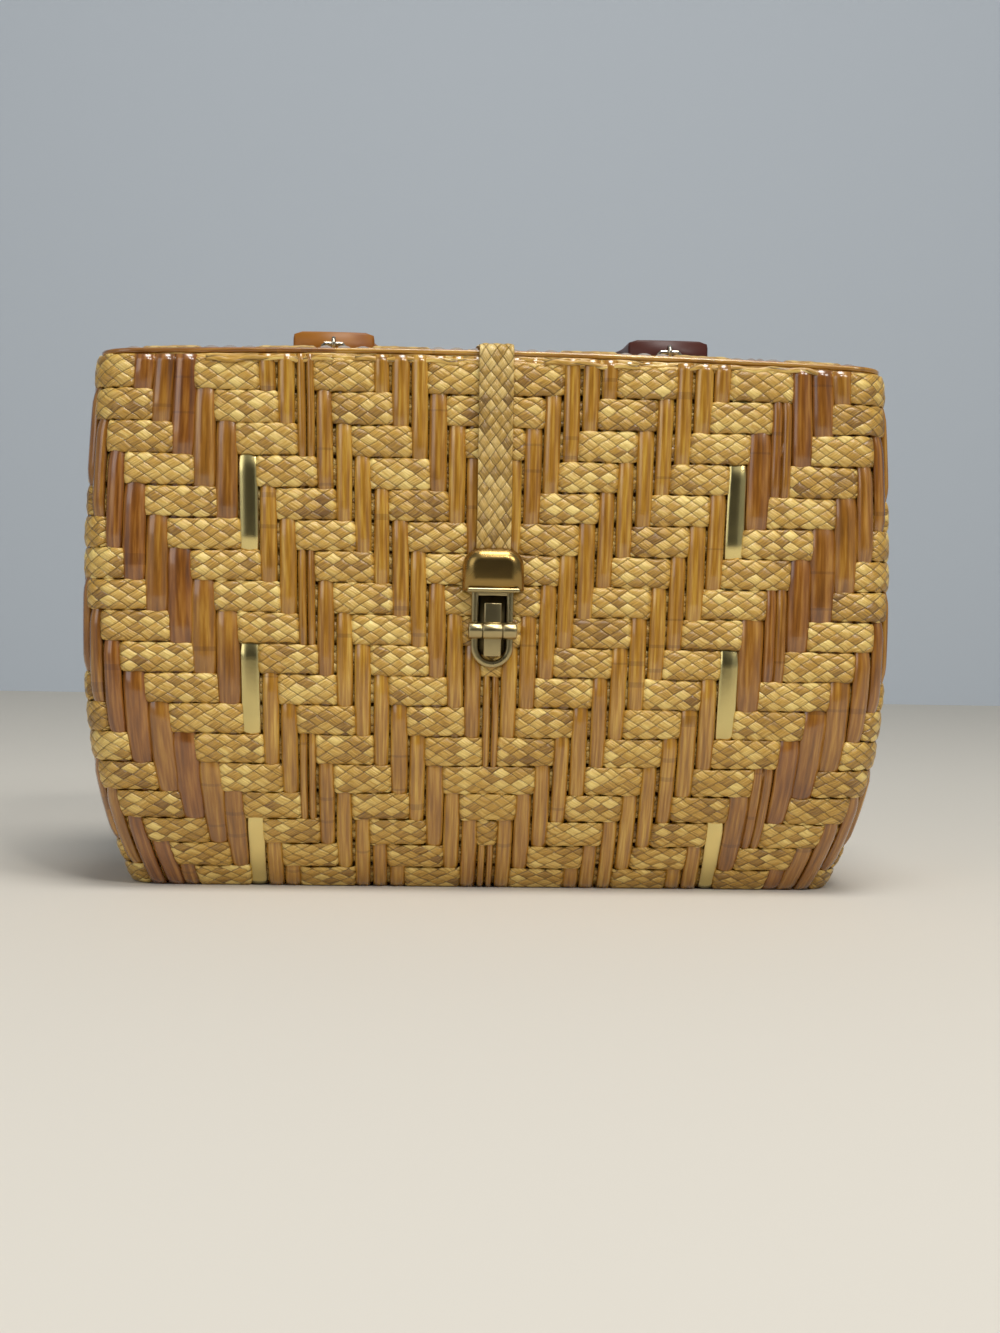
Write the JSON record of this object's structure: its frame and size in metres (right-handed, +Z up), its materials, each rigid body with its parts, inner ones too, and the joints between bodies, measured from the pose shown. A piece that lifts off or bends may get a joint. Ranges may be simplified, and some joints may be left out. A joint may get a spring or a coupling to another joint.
{
  "type": "basket box bag",
  "caption": "Box-shaped handbag woven from cane and braided straw, with a hinged lid, a folding arched handle, a strap and a lever latch.",
  "frame": {"origin": "middle of the flat base, on the surface that the bag stands on", "axes": "+Z up, +X along the width, the front faces -Y"},
  "size_m": [0.267, 0.1392, 0.1905],
  "materials": {
    "woven_cane_and_straw": "cane and braided straw",
    "rim_hoop_cane": "plain cane",
    "woven_lid_cane_and_straw": "cane and braided straw",
    "lid_binding_cane": "brown cane",
    "braided_strap": "braided straw",
    "brass_rivets": "domed",
    "brass_cap": "polished, tarnished",
    "brass_latch": "polished",
    "brass_lever": "polished",
    "steel_pin": "drawn wire",
    "latch_plate_steel": "plain",
    "latch_rivets_brass": "flush",
    "tortoiseshell_plastic": "moulded, glossy",
    "brass_strip": "polished",
    "eye_wire": "drawn wire",
    "staple_wire": "drawn wire",
    "hinge_brass": "plain"
  },
  "bodies": {
    "basket": {"woven_body": "woven_cane_and_straw", "rim_hoop": "rim_hoop_cane", "brass_strip_left": "brass_strip", "brass_strip_right": "brass_strip", "latch_base": "brass_latch", "latch_pin": "steel_pin", "latch_plate": "latch_plate_steel", "latch_rivets": "latch_rivets_brass", "hinge_body_rivets": "brass_rivets", "hinge_body_leaf_left": "hinge_brass", "hinge_body_leaf_right": "hinge_brass", "hinge_pin_left": "steel_pin", "hinge_pin_right": "steel_pin"},
    "lid": {"woven_lid": "woven_lid_cane_and_straw", "lid_binding": "lid_binding_cane", "closure_strap": "braided_strap", "strap_rivets": "brass_rivets", "strap_end_cap": "brass_cap", "hinge_lid_leaf_left": "hinge_brass", "hinge_lid_leaf_right": "hinge_brass", "hinge_lid_rivets": "brass_rivets", "handle_staple_left": "staple_wire", "handle_staple_right": "staple_wire"},
    "handle": {"handle": "tortoiseshell_plastic", "handle_eye_left": "eye_wire", "handle_eye_right": "eye_wire"},
    "latch_lever": {"latch_lever": "brass_lever"}
  },
  "joints": [
    {"name": "lid_open", "type": "hinge", "parent": "basket", "child": "lid", "pos_m": [0, 0.05825, 0.17415], "axis": [-1, 0, 0], "range_deg": [0, 95]},
    {"name": "handle_fold", "type": "hinge", "parent": "lid", "child": "handle", "pos_m": [0.005, 0, 0.18575], "axis": [1, 0, 0], "range_deg": [0, 165]},
    {"name": "lever_press", "type": "hinge", "parent": "basket", "child": "latch_lever", "pos_m": [0, -0.0597, 0.0874], "axis": [1, 0, 0], "range_deg": [0, 12], "stiffness_Nm_per_rad": 0.01}
  ]
}
